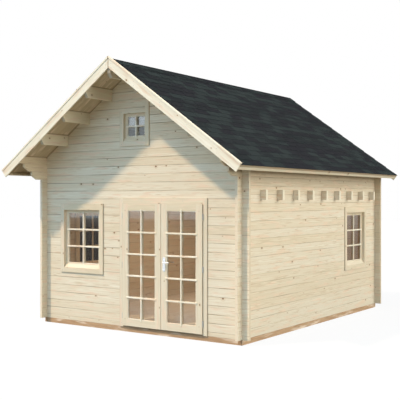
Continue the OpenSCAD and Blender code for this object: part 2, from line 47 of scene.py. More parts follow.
class Wire:
    # an output socket of a node tree, so that shader and geometry maths reads as plain sums
    def __init__(self, tree, socket=None):
        self.tree = tree
        self.socket = socket

    def add(self, kind, settings=None, sockets=None, out=0):
        made = self.tree.nodes.new(kind)
        for name, value in (settings or {}).items():
            setattr(made, name, value)
        for key, value in (sockets or {}).items():
            if isinstance(value, Wire):
                self.tree.links.new(value.socket, made.inputs[key])
            else:
                made.inputs[key].default_value = value
        return Wire(self.tree, made.outputs[out] if made.outputs else None)

    def other(self, out):
        return Wire(self.tree, self.socket.node.outputs[out])

    def math(self, operation, *values):
        return self.add("ShaderNodeMath", {"operation": operation}, dict(enumerate((self,) + values)))

    def __add__(self, value):
        return self.math("ADD", value)

    def __sub__(self, value):
        return self.math("SUBTRACT", value)

    def __rsub__(self, value):
        return self.math("MULTIPLY_ADD", -1.0, value)

    def __mul__(self, value):
        return self.math("MULTIPLY", value)

    def __truediv__(self, value):
        return self.math("DIVIDE", value)

    def __pow__(self, value):
        return self.math("POWER", value)

    def __abs__(self):
        return self.math("ABSOLUTE")

    __radd__ = __add__
    __rmul__ = __mul__

    def floor(self):
        return self.math("FLOOR")

    def ease(self, low, high):  # 0 below low, 1 above high, smooth between
        return self.add("ShaderNodeMapRange", {"interpolation_type": "SMOOTHSTEP"},
                        {"Value": self, "From Min": low, "From Max": high})

    def mix(self, first, second, blend="MIX"):  # this value as the factor between two colours
        return self.add("ShaderNodeMix", {"data_type": "RGBA", "blend_type": blend},
                        {0: self, 6: first, 7: second}, out=2)

    def vector(self, x, y, z):
        return self.add("ShaderNodeCombineXYZ", {}, {0: x, 1: y, 2: z})

    def parts(self):
        split = self.add("ShaderNodeSeparateXYZ", {}, {0: self})
        return split, split.other(1), split.other(2)


def tone(r, g, b):
    return (r, g, b, 1)


def newMaterial(name):
    mat = bpy.data.materials.new(name)
    mat.use_nodes = True
    mat.node_tree.nodes.clear()
    return mat, Wire(mat.node_tree)


def bumped(start, height, strength, deep):
    return start.add("ShaderNodeBump", {}, {"Strength": strength, "Distance": deep, "Height": height})


def finishWith(start, shader):
    start.add("ShaderNodeOutputMaterial", {}, {"Surface": shader})


def principled(start, sockets):
    finishWith(start, start.add("ShaderNodeBsdfPrincipled", {}, sockets))


def place(start):  # where a point lies, in metres
    return start.add("ShaderNodeTexCoord", out="Object").parts()


def noise(start, at, detail=2):
    return start.add("ShaderNodeTexNoise", {}, {"Vector": at, "Scale": 1.0, "Detail": detail,
                                                "Roughness": 0.55})


# Where the timbers lie, and the dark lines where they meet, from and to in metres: the mitre is a dark joint,
# the lines at the roof boards, under and over the eaves, round frames and at the sill are painted shade
logs = {"pitch": 0.132, "half": {"x": 2.478, "y": 1.978}}
roof = {"pitch": math.radians(35.4), "boardT": 0.019, "boardW": 0.096, "joint": 0.0006, "bevel": 0.005,
        "shingleT": 0.008, "seed": 4}
shade = {"roof": (0.01, 0.026), "roofDark": 0.8, "eave": (-0.05, 0.02), "eaveDark": 0.62,
         "outer": (-0.005, 0.005), "mitre": (0.004, 0.011), "rim": (0.0015, 0.005), "rimDark": 0.34,
         "over": (2.3, 2.6), "overDark": 0.4, "ends": (0.75, 0.85), "stile": 0.0005, "sill": 0.001}
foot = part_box("back_wall")[0].z
endFoot = foot - logs["pitch"] / 2
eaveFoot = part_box("eave_boards")[0].z
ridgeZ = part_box("right_roof_boards")[1].z - roof["boardT"] / math.cos(roof["pitch"])

# Wood: every timber has its grain along one axis, and its own stretch of grain, knots and tone
grainScale = {"drift": (0.9, 7.0), "streak": (1.6, 70.0), "fibre": (14.0, 1400.0), "marks": (3.4, 85.0),
              "blush": (2.4, 15.0), "sawn": 90.0, "seam": 1.3}  # noise per metre, along and across the grain
shift = {"along": 40.0, "across": 3.0}  # how far apart two timbers may lie in the same noise
heart = {"aside": 0.12, "deep": 0.05, "least": 0.02, "waver": 0.03, "knotBend": 0.012}
knotShape = {"long": 0.7, "least": 0.45, "core": (0.7, 1.15), "halo": (0.6, 3.6), "stray": 0.9}
spruce = {"pale": tone(0.85, 0.78, 0.65), "warm": tone(0.77, 0.66, 0.49), "late": tone(0.62, 0.47, 0.3),
          "rose": tone(0.86, 0.69, 0.53), "halo": tone(0.66, 0.48, 0.3), "knot": tone(0.26, 0.15, 0.08),
          "end": tone(0.8, 0.7, 0.55), "endLate": tone(0.66, 0.53, 0.37), "seam": tone(0.3, 0.2, 0.11),
          "knotGap": 0.34, "knotRow": 0.132, "knotSize": 0.0095, "knotShare": 0.09, "ring": 0.32,
          "ringGap": 0.006, "blush": 0.95, "mark": 1.7, "haloShare": 0.45, "rough": 0.58, "gloss": 0.2,
          "bump": (0.35, 0.0012), "seed": 3.0, "joint": 0.0, "seamWide": (0.001, 0.0052),
          "edge": 0.8, "corner": 9.0, "stub": 0.0}
# paler than the side logs: painted light on the front and back walls
levelSpruce = {**spruce, "pale": tone(0.9, 0.83, 0.69), "joint": 0.62, "corner": 2.0, "knotShare": 0.11,
               "ring": 0.5}
# the back wall's log ends past the corners darker: painted shade
backSpruce = {**levelSpruce, "stub": 0.12}
sideSpruce = {**spruce, "joint": 0.38, "seed": 5.0, "corner": 2.5, "knotShare": 0.16, "ring": 0.62,
              "end": tone(0.89, 0.78, 0.62), "endLate": tone(0.79, 0.65, 0.48)}
# a warmer, paler copy of the side logs for the plates under the eaves: painted warm light
plateSpruce = {**sideSpruce, "pale": tone(0.95, 0.83, 0.65), "warm": tone(0.88, 0.73, 0.52),
               "end": tone(0.88, 0.77, 0.59), "endLate": tone(0.76, 0.61, 0.42)}
beamSpruce = {**spruce, "pale": tone(0.96, 0.89, 0.78), "warm": tone(0.89, 0.79, 0.65), "knotGap": 0.5,
              "knotRow": 0.2, "knotShare": 0.2, "seed": 11.0, "end": tone(0.9, 0.84, 0.7),
              "endLate": tone(0.84, 0.75, 0.59)}
# the purlins' sawn ends dark: painted shade from the bargeboards
purlinSpruce = {**beamSpruce, "pale": tone(0.9, 0.81, 0.63), "warm": tone(0.79, 0.67, 0.48),
                "knotShare": 0.35, "end": tone(0.5, 0.43, 0.34), "endLate": tone(0.36, 0.29, 0.2),
                "seed": 13.0}
trimSpruce = {**spruce, "pale": tone(0.95, 0.91, 0.8), "warm": tone(0.9, 0.82, 0.66), "knotGap": 0.75,
              "knotRow": 0.12, "knotShare": 0.75, "knotSize": 0.011, "ring": 0.22, "seed": 19.0}
# a darker copy of the trim for the eave boards: painted shade
eaveSpruce = {**trimSpruce, "pale": tone(0.84, 0.77, 0.62), "warm": tone(0.74, 0.65, 0.49)}
joinerySpruce = {**spruce, "pale": tone(0.82, 0.735, 0.59), "warm": tone(0.75, 0.64, 0.46), "knotGap": 0.8,
                 "knotRow": 0.11, "knotShare": 0.4, "knotSize": 0.007, "ring": 0.2, "seed": 23.0}
barSpruce = {**joinerySpruce, "pale": tone(0.93, 0.87, 0.75), "warm": tone(0.86, 0.78, 0.62),
             "knotShare": 0.0}
plugSpruce = {**spruce, "pale": spruce["knot"], "warm": spruce["late"]}
roofSpruce = {**spruce, "pale": tone(0.66, 0.53, 0.36), "warm": tone(0.55, 0.42, 0.26), "knotGap": 0.6,
              "knotRow": 0.1, "seed": 29.0}
floorSpruce = {**spruce, "pale": tone(0.92, 0.85, 0.73), "warm": tone(0.83, 0.74, 0.6), "knotGap": 0.6,
               "knotRow": 0.1, "seed": 31.0}
baseTimber = {**spruce, "pale": tone(0.63, 0.42, 0.26), "warm": tone(0.49, 0.3, 0.17),
              "late": tone(0.24, 0.12, 0.055), "halo": tone(0.3, 0.15, 0.07), "end": tone(0.5, 0.31, 0.18),
              "endLate": tone(0.36, 0.21, 0.11), "knotGap": 0.5, "knotRow": 0.07, "rough": 0.7, "seed": 37.0}


def knots(start, look, run, across):  # one chance in each cell of a stretched grid, kept inside its own log
    gap, row = look["knotGap"], look["knotRow"]
    cell = start.vector(run / gap, across / row, 0.0)
    found = start.add("ShaderNodeTexVoronoi", {"voronoi_dimensions": "2D"},
                      {"Vector": cell, "Scale": 1.0, "Randomness": knotShape["stray"]}, out="Position")
    knotX, knotY = found.parts()[:2]
    big, luck = found.other("Color").parts()[:2]
    awayX = (run / gap - knotX) * gap * knotShape["long"]  # knots are longer than they are wide
    awayY = (across / row - knotY) * row
    near = (awayX * awayX + awayY * awayY) ** 0.5 / (look["knotSize"] * (big + knotShape["least"]))
    sameLog = 1 - abs(knotY.floor() - (across / row).floor()).math("MINIMUM", 1.0)
    there = luck.ease(1 - look["knotShare"], 1.01 - look["knotShare"]) * sameLog
    return there * (1 - near.ease(*knotShape["core"])), there * (1 - near.ease(*knotShape["halo"]))


def woodMaterial(name, look, layout):
    mat, start = newMaterial(name)
    along, across, depth, stick, end, edge = layout(start)
    dice = start.add("ShaderNodeTexWhiteNoise", {"noise_dimensions": "1D"},
                     {"W": stick * 1.37 + look["seed"]}, out="Color")
    chanceA, chanceB, chanceC = dice.parts()
    run = along + chanceA * shift["along"]
    side = across + chanceB * shift["across"]

    def grained(word, detail=2):
        lengthwise, crosswise = grainScale[word]
        return noise(start, start.vector(run * lengthwise, side * crosswise, depth * crosswise), detail)

    drift = grained("drift")
    streak = grained("streak", 3)
    core, halo = knots(start, look, run, across)
    # growth rings round a heart that lies beside the timber
    row = look["knotRow"]
    inRow = across - (across / row).floor() * row - row / 2
    heartSide = inRow + (chanceB - 0.5) * heart["aside"]
    heartDepth = depth + chanceC * heart["deep"] + heart["least"]
    radius = (heartSide * heartSide + heartDepth * heartDepth) ** 0.5
    radius = radius + drift * heart["waver"] + halo * heart["knotBend"]
    ring = (radius * (math.tau / look["ringGap"])).math("SINE") * 0.5 + 0.5
    late = ring * ring * (streak * 0.8 + 0.3)
    late = late.math("MAXIMUM", grained("marks").ease(0.6, 0.72) * look["mark"])
    # tone, from the pale wood to the knots
    warmth = streak * 0.75 + drift * 0.6 + (chanceC - 0.5) * 0.45 - 0.2
    colour = warmth.ease(0.0, 1.0).mix(look["pale"], look["warm"])
    lengthwise, crosswise = grainScale["blush"]
    blush = noise(start, start.vector(run * lengthwise + 9.0, side * crosswise, chanceA * 9.0))
    colour = (blush.ease(0.5, 0.7) * look["blush"]).mix(colour, look["rose"])
    colour = (late * look["ring"]).mix(colour, look["late"])
    colour = (halo * look["haloShare"]).mix(colour, look["halo"])
    colour = core.mix(colour, look["knot"])
    # sawn ends
    fine = grainScale["sawn"]
    sawn = noise(start, start.vector(along * fine, across * fine, depth * fine))
    endColour = (ring * 0.5 + sawn * 0.5).mix(look["end"], look["endLate"])
    colour = end.mix(colour, endColour)
    # joints between the logs, in broken lines, fainter past the corner
    seam = 1 - (row / 2 - abs(inRow)).ease(*look["seamWide"])
    line = (across / row + 0.5).floor()
    patchy = noise(start, start.vector(along * grainScale["seam"], line * 7.3, depth.math("SIGN")))
    stub = abs(along).ease(look["corner"], look["corner"] + 0.002)
    seam = seam * (patchy.ease(0.36, 0.66) * 1.3 + 0.35) * (1 - stub * 0.5)
    colour = (seam * look["joint"]).mix(colour, look["seam"], "MULTIPLY")
    # painted shade from the layout's dark lines, in the seam colour, except on the bargeboards, where it is
    # their dark mitre joint
    colour = (edge * look["edge"]).mix(colour, look["seam"], "MULTIPLY")
    # painted shade: log ends past the corner darker, by the look's stub share
    colour = (stub * look["stub"]).mix(colour, look["late"], "MULTIPLY")
    height = grained("fibre") * 0.35 - late * 0.3 + core * 0.5
    principled(start, {"Base Color": colour, "Roughness": streak * 0.14 + look["rough"] - core * 0.15,
                       "Specular IOR Level": look["gloss"], "Normal": bumped(start, height, *look["bump"])})
    return mat


def endMask(start, axis):  # 1 on the sawn ends, whose faces look along the grain
    facing = start.add("ShaderNodeTexCoord", out="Normal").parts()["xyz".index(axis)]
    return abs(facing).ease(*shade["ends"])


def roofLine(x, z):  # painted shade: a dark line on what meets the roof boards
    return (1 - (ridgeZ - abs(x) * math.tan(roof["pitch"]) - z).ease(*shade["roof"])) * shade["roofDark"]


def logLayout(axis, base):  # base is where the lowest course starts
    def layout(start):
        x, y, z = place(start)
        along, depth = (x, y) if axis == "x" else (y, x)
        up = z - base
        stick = (up / logs["pitch"]).floor() + depth.math("SIGN") * 50.0
        end = endMask(start, axis)
        edge = roofLine(x, z)
        deep = abs(depth) - logs["half"][axis]
        if axis == "y":  # painted shade: a soft dark line under the eave boards, on the outer faces
            outer = deep.ease(*shade["outer"]) * (1 - end)
            near = z.ease(eaveFoot + shade["eave"][0], eaveFoot + shade["eave"][1])
            edge = edge.math("MAXIMUM", near * outer * shade["eaveDark"])
        return along, up, deep, stick, end, edge
    return layout


def beamLayout(axis, step, first=0.0):  # like timbers side by side, a step apart
    def layout(start):
        x, y, z = place(start)
        along, other = (x, y) if axis == "x" else (y, x)
        stick = ((other - first) / step + 0.5).floor()
        return along, z, other - first - stick * step, stick, endMask(start, axis), roofLine(x, z)
    return layout


def slopeLayout(start):  # boards that run down both slopes
    x, y, z = place(start)
    out = abs(x)
    down = out * math.cos(roof["pitch"]) - z * math.sin(roof["pitch"])
    up = out * math.sin(roof["pitch"]) + z * math.cos(roof["pitch"])
    stick = x.math("SIGN") * 2.0 + y.math("SIGN") * 5.0
    return down, up, y, stick, down * 0.0, 1 - out.ease(*shade["mitre"])  # dark line where they meet


def framedLayout(node, stile, axis="x", sill=0.0):  # uprights with the grain up, rails with it across
    low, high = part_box(node)
    index = "xyz".index(axis)
    middle, half = (low[index] + high[index]) / 2, (high[index] - low[index]) / 2
    waist, tall = (low.z + high.z) / 2, (high.z - low.z) / 2

    def layout(start):
        x, y, z = place(start)
        level, depth = (x, y) if axis == "x" else (y, x)
        off = level - middle
        upright = abs(off).ease(half - stile - shade["stile"], half - stile + shade["stile"])
        along = level + (z - level) * upright
        across = z + (level - z) * upright
        rail = (z - waist).math("SIGN")
        stick = upright * (off.math("SIGN") + 4.0) + (1 - upright) * rail + half * 7.0
        # painted shade: a dark line round the outer rim of each frame, where it meets its neighbours
        rim = (half - abs(off)).math("MINIMUM", tall - abs(z - waist))
        edge = (1 - rim.ease(*shade["rim"])) * shade["rimDark"]
        if sill:  # painted shade: a threshold between the uprights, dark under the leaves
            sillShade = 1 - (z - low.z).ease(sill - shade["sill"], sill + shade["sill"])
            edge = edge.math("MAXIMUM", sillShade * (1 - upright))
        return along, across, depth, stick, upright * 0.0, edge
    return layout


def pieceLayout(start):  # pieces that carry their own grain direction
    along, across, depth = start.add("ShaderNodeAttribute", {"attribute_name": "grain"}, out="Vector").parts()
    chance = start.add("ShaderNodeAttribute", {"attribute_name": "chance"}, out="Fac")
    return along, across, depth, (chance * 997.0).floor(), along * 0.0, along * 0.0


def roofLayout(start):  # roof boards, dark in the shade over the eaves
    grain = pieceLayout(start)
    return grain[:-1] + (grain[0].ease(*shade["over"]) * shade["overDark"],)


shingle = {"stone": tone(0.019, 0.025, 0.028), "green": tone(0.036, 0.047, 0.05),
           "plum": tone(0.025, 0.0255, 0.033), "dark": tone(0.01, 0.0115, 0.012),
           "speck": tone(0.08, 0.085, 0.085), "patch": (1.6, 0.7), "streak": (9.0, 1.2), "grit": 420.0,
           "fine": 700.0, "rough": 0.8, "bump": (0.6, 0.0012)}


def shingleMaterial():
    mat, start = newMaterial("shingleMineral")
    x, y, z = place(start)
    chance = start.add("ShaderNodeAttribute", {"attribute_name": "chance"}, out="Fac")

    def strewn(across, along, detail):
        return noise(start, start.vector(x * across, y * along, z * across), detail)

    patch = strewn(*shingle["patch"], 3)
    streak = strewn(*shingle["streak"], 3)
    grit = strewn(shingle["grit"], shingle["grit"], 1)
    speck = strewn(shingle["fine"], shingle["fine"], 0)
    colour = (patch * 0.7 + chance * 0.5 - 0.1).ease(0.2, 0.75).mix(shingle["plum"], shingle["stone"])
    colour = (streak * 0.9 + chance * 0.75 - 0.35).ease(0.3, 0.85).mix(colour, shingle["green"])
    colour = (1 - grit.ease(0.3, 0.55)).mix(colour, shingle["dark"])
    colour = speck.ease(0.66, 0.74).mix(colour, shingle["speck"])
    principled(start, {"Base Color": colour, "Roughness": grit * 0.15 + shingle["rough"],
                       "Specular IOR Level": 0.0, "Normal": bumped(start, grit, *shingle["bump"])})
    return mat


metals = {"hingeZinc": {"bright": tone(0.56, 0.56, 0.55), "dull": tone(0.4, 0.4, 0.39), "rough": 0.38,
                        "stretch": (90.0, 90.0, 8.0)},
          "handleSilver": {"bright": tone(0.77, 0.76, 0.74), "dull": tone(0.48, 0.48, 0.5), "rough": 0.28,
                           "stretch": (300.0, 300.0, 25.0)},
          # keyholes: painted shade, a dark disc for the hollow
          "keyholeDark": {"bright": tone(0.03, 0.03, 0.03), "dull": tone(0.07, 0.07, 0.07), "rough": 0.6,
                          "stretch": (60.0, 60.0, 60.0)}}
metalCloud = 60.0
metalBump = (0.08, 0.0004)


def metalMaterial(name):
    look = metals[name]
    mat, start = newMaterial(name)
    x, y, z = place(start)
    cloud = noise(start, start.vector(x * metalCloud, y * metalCloud, z * metalCloud), 3)
    brushX, brushY, brushZ = look["stretch"]
    brush = noise(start, start.vector(x * brushX, y * brushY, z * brushZ), 2)
    colour = (cloud * 0.7 + brush * 0.3).ease(0.3, 0.75).mix(look["bright"], look["dull"])
    rough = brush * 0.12 + cloud * 0.1 + look["rough"]
    principled(start, {"Base Color": colour, "Metallic": 1.0, "Roughness": rough,
                       "Normal": bumped(start, brush, *metalBump)})
    return mat


# Glass: share is how much every part of a pane reflects, and its top and foot shine more, as painted
# reflection of a cloudy sky at the top and painted light of a sunlit floor inside at the door's foot
gableMiddle = (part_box("gable_window_glass")[0].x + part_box("gable_window_glass")[1].x) / 2
# the left window's tint is nearly black: painted shade seen through the front window
glass = {"clear": tone(0.93, 0.93, 0.91), "side": tone(0.69, 0.62, 0.51), "paintedShade": tone(0.016, 0.012, 0.008),
         "shine": tone(1.0, 0.97, 0.93), "rough": 0.02, "wave": 2.0, "cloud": (3.0, 6.0), "foot": (0.3, 0.85),
         "gapEdge": (0.003, 0.012), "bump": (0.02, 0.002)}
panes = {"window": {"tint": "clear", "share": 0.018, "top": (1.6, 1.9), "more": 0.035},
         "leftWindow": {"tint": "paintedShade", "share": 0.03, "top": (1.2, 1.9), "more": 0.0},
         "sideWindow": {"tint": "side", "share": 0.02, "top": (1.3, 1.9), "more": 0.07},
         "gable": {"tint": "clear", "share": 0.044, "top": (3.27, 3.3), "more": 0.06,
                   "gap": (gableMiddle + 0.01, gableMiddle + 0.04)},
         "door": {"tint": "clear", "share": 0.018, "top": (1.5, 1.95), "more": 0.03, "below": 0.037}}


def glassMaterial(word):
    look = panes[word]
    mat, start = newMaterial(word + "Glass")
    x, y, z = place(start)
    wave = noise(start, start.vector(x * glass["wave"], y * glass["wave"], z * glass["wave"]), 1)
    level, tall = glass["cloud"]
    cloud = noise(start, start.vector(x * level, y * level, z * tall), 3)
    clear = start.add("ShaderNodeBsdfTransparent", {}, {"Color": glass[look["tint"]]})
    shine = start.add("ShaderNodeBsdfGlossy", {}, {"Color": glass["shine"], "Roughness": glass["rough"],
                                                   "Normal": bumped(start, wave, *glass["bump"])})
    facing = start.add("ShaderNodeLayerWeight", {}, {"Blend": 0.5}, out="Facing")
    # painted reflection: the tops of the panes shine more, in cloudy patches
    glint = facing ** 4.0 * 0.6 + z.ease(*look["top"]) * (cloud * 0.8 + 0.6) * look["more"] + look["share"]
    # painted light: the foot of the door panes shines more, for a sunlit floor inside
    if "below" in look:
        low = (1 - z.ease(*glass["foot"])) * (cloud.ease(0.35, 0.65) * 1.2 + 0.5)
        glint = glint + low * look["below"]
    if "gap" in look:  # painted shade: an upright strip with nothing bright before it, for the shaded inner bar behind the pane
        (first, last), (sharp, soft) = look["gap"], glass["gapEdge"]
        glint = glint * (1 - x.ease(first, first + sharp) * (1 - x.ease(last, last + soft)))
    finishWith(start, start.add("ShaderNodeMixShader", {}, {0: glint, 1: clear, 2: shine}))
    return mat


beams = {"step": 0.518, "half": 0.03}
purlins = {"step": 0.49, "first": 0.499}
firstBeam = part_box("loft_beams")[0].y + beams["half"]
spans = {"eave": 5.0, "baseX": 5.0, "baseY": 4.0, "plug": 9.0}  # so wide that all count as one timber
logX = woodMaterial("spruceLogLevel", levelSpruce, logLayout("x", endFoot))
logBack = woodMaterial("spruceLogBack", backSpruce, logLayout("x", endFoot))
logY = woodMaterial("spruceLogSide", sideSpruce, logLayout("y", foot))
plateWood = woodMaterial("spruceWallPlate", plateSpruce, logLayout("y", foot))
purlinWood = woodMaterial("sprucePurlin", purlinSpruce, beamLayout("y", purlins["step"], purlins["first"]))
beamWood = woodMaterial("spruceBeam", beamSpruce, beamLayout("x", beams["step"], firstBeam))
slopeTrim = woodMaterial("spruceBarge", trimSpruce, slopeLayout)
eaveTrim = woodMaterial("spruceEave", eaveSpruce, beamLayout("y", spans["eave"]))
baseX = woodMaterial("impregnatedEnd", baseTimber, beamLayout("x", spans["baseX"]))
baseY = woodMaterial("impregnatedSide", baseTimber, beamLayout("y", spans["baseY"]))
roofWood = woodMaterial("roofBoard", roofSpruce, roofLayout)
floorWood = woodMaterial("floorBoard", floorSpruce, pieceLayout)
barWood = woodMaterial("glazingBar", barSpruce, pieceLayout)
plugWood = woodMaterial("plugWood", plugSpruce, beamLayout("x", spans["plug"]))
shingleFace = shingleMaterial()
hingeZinc = metalMaterial("hingeZinc")
keyDark = metalMaterial("keyholeDark")
handleSilver = metalMaterial("handleSilver")
doorGlass = glassMaterial("door")
windowPanes = {"front": glassMaterial("window"), "right": glassMaterial("sideWindow"),
               "left": glassMaterial("leftWindow"), "gable": glassMaterial("gable")}
print("materials:", len(bpy.data.materials))


def dress(mat, *names):
    for name in names:
        mesh = nodes[name].data
        mesh.materials.clear()
        mesh.materials.append(mat)


dress(logX, "front_wall_left", "front_wall_right", "front_gable")
dress(logBack, "back_wall")
dress(logY, "left_wall", "right_wall")
dress(plateWood, "left_wall_plates", "right_wall_plates")
dress(purlinWood, "ridge_purlin", "left_purlins", "right_purlins")
dress(beamWood, "loft_beams")
dress(slopeTrim, "front_bargeboards", "back_bargeboards", "front_cap_strips")
dress(eaveTrim, "eave_boards")
dress(baseX, "foundation_end_beams")
dress(baseY, "foundation_side_beams", "floor_bearers")
dress(hingeZinc, "door_frame_hinges", "left_leaf_hinges", "right_leaf_hinges")
dress(handleSilver, "handle_plates", "lever_handle")

# Casings, sashes, leaves and their glass
casing = {"window": 0.075, "sash": 0.058, "gableSash": 0.045, "door": 0.075, "leaf": 0.11, "sill": 0.017}
for wall in ("front", "right", "left", "gable"):
    axis = "x" if wall in ("front", "gable") else "y"
    frameNode, sashNode = wall + "_window_frame", wall + "_window_sash"
    sash = casing["gableSash" if wall == "gable" else "sash"]
    frameLayout = framedLayout(frameNode, casing["window"], axis)
    dress(woodMaterial(wall + "Casing", joinerySpruce, frameLayout), frameNode)
    dress(woodMaterial(wall + "Sash", joinerySpruce, framedLayout(sashNode, sash, axis)), sashNode)
    dress(windowPanes[wall], wall + "_window_glass")
doorLayout = framedLayout("door_frame", casing["door"], "x", casing["sill"])
dress(woodMaterial("doorCasing", joinerySpruce, doorLayout), "door_frame")
for leaf in ("left_leaf", "right_leaf"):
    dress(woodMaterial(leaf + "Wood", joinerySpruce, framedLayout(leaf, casing["leaf"])), leaf)
    dress(doorGlass, leaf + "_glass")


def solidMesh(name, solids):  # closed solids, each between two rims, with their own grain coordinates
    shape = bmesh.new()
    for rimA, rimB in solids:
        first = [shape.verts.new(p) for p in rimA]
        last = [shape.verts.new(p) for p in rimB]
        for i in range(len(first)):
            shape.faces.new((first[i - 1], first[i], last[i], last[i - 1]))
        shape.faces.new(first)
        shape.faces.new(last)
    bmesh.ops.recalc_face_normals(shape, faces=shape.faces)
    mesh = bpy.data.meshes.new(name)
    shape.to_mesh(mesh)
    shape.free()
    grain = mesh.attributes.new("grain", "FLOAT_VECTOR", "POINT")
    grain.data.foreach_set("vector", [c for v in mesh.vertices for c in v.co])
    return mesh


def prism(profile, first, last):  # along X, of (y, z) points
    return [(first, y, z) for y, z in profile], [(last, y, z) for y, z in profile]


socketKinds = {"Count": "Int", "Rows": "Int", "Tabs": "Int", "Sides": "Int", "Seed": "Int", "Step": "Vector",
               "Place": "Vector", "Turn": "Vector", "Material": "Material"}  # the others are floats


def newTree(name, labels):
    tree = bpy.data.node_groups.new(name, "GeometryNodeTree")
    tree.interface.new_socket("Geometry", in_out="OUTPUT", socket_type="NodeSocketGeometry")
    for label in ("Geometry",) + labels:
        kind = "Geometry" if label == "Geometry" else socketKinds.get(label, "Float")
        tree.interface.new_socket(label, in_out="INPUT", socket_type="NodeSocket" + kind)
    return Wire(tree).add("NodeGroupInput", out="Geometry")


def closeTree(given, copies):  # the copies as a plain mesh, with its material
    plain = given.add("GeometryNodeRealizeInstances", {}, {"Geometry": copies})
    coated = given.add("GeometryNodeSetMaterial", {},
                       {"Geometry": plain, "Material": given.other("Material")})
    given.add("NodeGroupOutput", {}, {"Geometry": coated})
    return given.tree


def setOut(given, sockets):  # puts the piece on the points, gives each copy a chance, and moves them all
    copies = given.add("GeometryNodeInstanceOnPoints", {}, {"Instance": given, **sockets})
    chance = given.add("FunctionNodeRandomValue", {"data_type": "FLOAT"},
                       {"Seed": given.other("Seed")}, out=1)
    copies = given.add("GeometryNodeStoreNamedAttribute", {"data_type": "FLOAT", "domain": "INSTANCE"},
                       {"Geometry": copies, "Name": "chance", "Value": chance})
    moved = given.add("GeometryNodeTransform", {}, {"Geometry": copies, "Translation": given.other("Place"),
                                                    "Rotation": given.other("Turn")})
    return closeTree(given, moved)


def rowTree():  # the piece repeated in a straight row
    given = newTree("pieceRow", ("Count", "Step", "Place", "Turn", "Seed", "Material"))
    points = given.add("GeometryNodeMeshLine", {"mode": "OFFSET"},
                       {"Count": given.other("Count"), "Offset": given.other("Step")})
    return setOut(given, {"Points": points})


def courseTree():  # tabs in courses up a slope, every other course set over by half a tab
    given = newTree("shingleCourses", ("Rows", "Tabs", "Exposure", "Tab Width", "Least", "Eave", "Run",
                                       "Place", "Turn", "Seed", "Material"))
    index = given.add("GeometryNodeInputIndex")
    across = given.other("Tabs") + 1
    row = (index / across).floor()
    column = index - row * across - row.math("MODULO", 2.0) * 0.5
    wide = given.other("Tab Width")
    first = (column * wide).math("MAXIMUM", 0.0)
    last = ((column + 1) * wide).math("MINIMUM", given.other("Run"))
    spot = given.vector(given.other("Eave") - row * given.other("Exposure"), first, 0.0)
    points = given.add("GeometryNodePoints", {}, {"Count": given.other("Rows") * across, "Position": spot})
    chosen = (last - first).math("GREATER_THAN", given.other("Least"))
    scale = given.vector(1.0, (last - first) / wide, 1.0)
    return setOut(given, {"Points": points, "Scale": scale, "Selection": chosen})


def grow(name, tree, mesh, settings, body):  # runs a tree on a mesh and keeps the plain result
    piece = bpy.data.objects.new(name, mesh)
    bpy.context.scene.collection.objects.link(piece)
    grower = piece.modifiers.new("rows", "NODES")
    grower.node_group = tree
    for item in tree.interface.items_tree:
        if item.in_out == "INPUT" and item.name in settings:
            grower[item.identifier] = settings[item.name]
    seen = bpy.context.evaluated_depsgraph_get()
    made = bpy.data.meshes.new_from_object(piece.evaluated_get(seen), preserve_all_data_layers=True,
                                           depsgraph=seen)
    piece.modifiers.remove(grower)
    piece.data = made
    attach(piece, body)
    return piece


def headTree():  # a round head on every point of a mesh, turned the way the point faces
    given = newTree("headScatter", ("Sides", "Radius", "Depth", "Material"))
    head = given.add("GeometryNodeMeshCylinder", {}, {"Vertices": given.other("Sides"),
                                                      "Radius": given.other("Radius"),
                                                      "Depth": given.other("Depth")})
    facing = given.add("GeometryNodeInputNamedAttribute", {"data_type": "FLOAT_VECTOR"}, {"Name": "facing"})
    turn = given.add("FunctionNodeAlignRotationToVector", {"axis": "Z"}, {"Vector": facing})
    copies = given.add("GeometryNodeInstanceOnPoints", {},
                       {"Points": given, "Instance": head, "Rotation": turn})
    return closeTree(given, copies)


rows = rowTree()
courses = courseTree()
heads = headTree()
quarter = math.pi / 2


def boardProfile(width, thick, edge):  # board with a bevel along its lower edges
    half = width / 2
    return [(-half, edge), (-half + edge, 0.0), (half - edge, 0.0), (half, edge), (half, thick),
            (-half, thick)]


# Roof: boards under the shingles, the shingle courses on their felt, and the ridge pieces
tabs = {"exposure": 0.143, "width": 0.333, "slot": 0.006, "length": 0.2, "thick": 0.0027, "rows": 20,
        "least": 0.02, "foot": 0.0051, "head": 0.0005, "seed": 8}
felt = {"thick": 0.0003, "clear": 0.0001, "inset": 0.004}
ridgeCap = {"exposure": 0.205, "length": 0.25, "reach": 0.128, "fold": 0.012, "thick": 0.0027,
            "lift": 0.003, "clear": 0.0002, "seed": 14}


def tabMesh():  # its foot lies higher than its head, on the course below
    low, high = roof["boardT"] + tabs["foot"], roof["boardT"] + tabs["head"]
    left, right = tabs["slot"] / 2, tabs["width"] - tabs["slot"] / 2
    back = -tabs["length"]
    outline = [(0.0, left, low), (0.0, right, low), (back, right, high), (back, left, high)]
    return solidMesh("tab", [(outline, [(x, y, z + tabs["thick"]) for x, y, z in outline])])


def ridgeMesh():  # folded cap piece, with its front end lying on the piece before it
    rims = []
    for y, lift in ((0.0, ridgeCap["lift"]), (ridgeCap["length"], 0.0)):
        under = roof["boardT"] + roof["shingleT"] + ridgeCap["clear"] + lift
        line = []
        for rise in (under, under + ridgeCap["thick"]):
            wing = [(u * math.cos(roof["pitch"]) + rise * math.sin(roof["pitch"]),
                     rise * math.cos(roof["pitch"]) - u * math.sin(roof["pitch"]))
                    for u in (ridgeCap["reach"], ridgeCap["fold"])]
            half = [(-x, z) for x, z in wing] + wing[::-1]
            line += half if rise == under else half[::-1]
        rims.append([(x, y, z) for x, z in line])
    return solidMesh("ridgePiece", [rims])


def slopeLength(low, high, side, thick):  # from the ridge down to the eave, for what is thick on the slope
    out = high.x if side > 0 else -low.x
    return out / math.cos(roof["pitch"]) - thick * math.tan(roof["pitch"])


